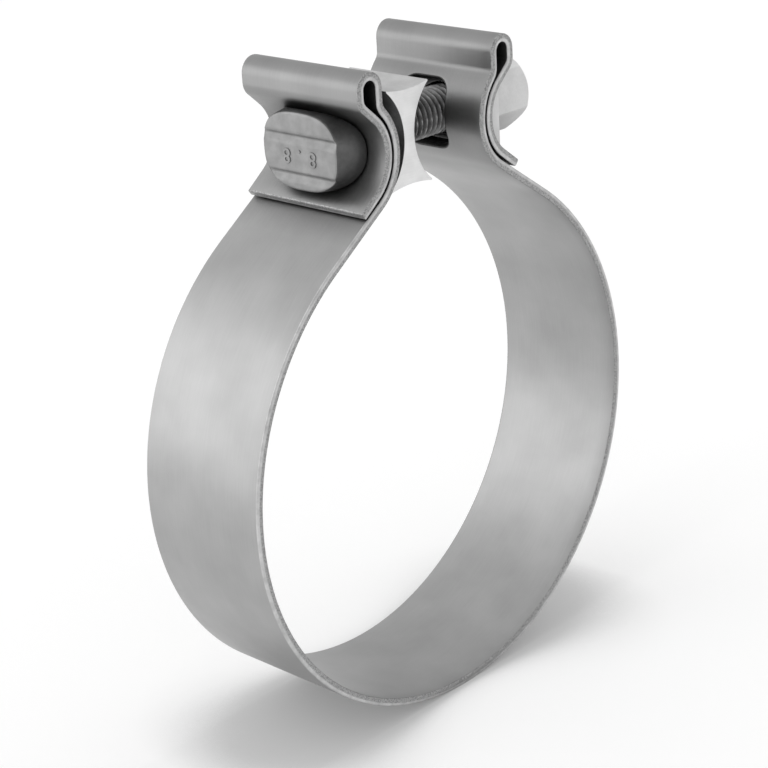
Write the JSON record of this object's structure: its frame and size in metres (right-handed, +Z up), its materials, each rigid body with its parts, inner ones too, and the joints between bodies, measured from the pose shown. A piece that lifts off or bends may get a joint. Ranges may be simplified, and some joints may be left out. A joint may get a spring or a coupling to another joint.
{
  "type": "exhaust clamp",
  "caption": "Folded strip clamp for an exhaust lap joint, closed by a bolt whose head rocks in one lug, a half-round washer and a nut.",
  "frame": {"origin": "centre of the open ring, halfway across the strip's width", "axes": "+Y along the pipe, +Z up through the gap between the lugs, +X along the bolt from its head to the nut"},
  "size_m": [0.1142, 0.0318, 0.1396],
  "materials": {
    "band": "satin stainless strip, rolled along the ring, with sheared edges",
    "block": "pale matte extrusion, sawn ends",
    "bolt": "forged and coated, matte grey",
    "washer": "pale matte plating",
    "nut": "pale matte plating"
  },
  "bodies": {
    "band_left": {"band_left": "band"},
    "band_right": {"band_right": "band"},
    "bolt": {"bolt": "bolt"},
    "block": {"reaction_block": "block"},
    "washer": {"half_round_washer": "washer"},
    "nut": {"nut": "nut"}
  },
  "joints": [
    {"name": "nut_turn", "type": "hinge", "parent": "washer", "child": "nut", "pos_m": [0.0239, 0, 0.06575], "axis": [-1, 0, 0], "range_deg": [0, 4136.8]},
    {"name": "washer_slide", "type": "slide", "parent": "bolt", "child": "washer", "axis": [-1, 0, 0], "range_m": [0, 0.01726]},
    {"name": "bolt_rock", "type": "hinge", "parent": "band_left", "child": "bolt", "pos_m": [-0.0247, 0, 0.06575], "axis": [0, -1, 0], "range_deg": [0, 4.06]},
    {"name": "band_flex", "type": "hinge", "parent": "band_left", "child": "band_right", "pos_m": [0, 0, -0.0554], "axis": [0, -1, 0], "range_deg": [0, 8.12]},
    {"name": "block_slide", "type": "slide", "parent": "bolt", "child": "block", "axis": [-1, 0, 0], "range_m": [0, 0.00511]}
  ],
  "couplings": [
    {"joint": "washer_slide", "follows": "nut_turn", "m_per_rad": 0.00023873},
    {"joint": "band_flex", "follows": "nut_turn", "ratio": 0.001958},
    {"joint": "bolt_rock", "follows": "nut_turn", "ratio": 0.00097902},
    {"joint": "block_slide", "follows": "nut_turn", "m_per_rad": 0.000070636}
  ]
}
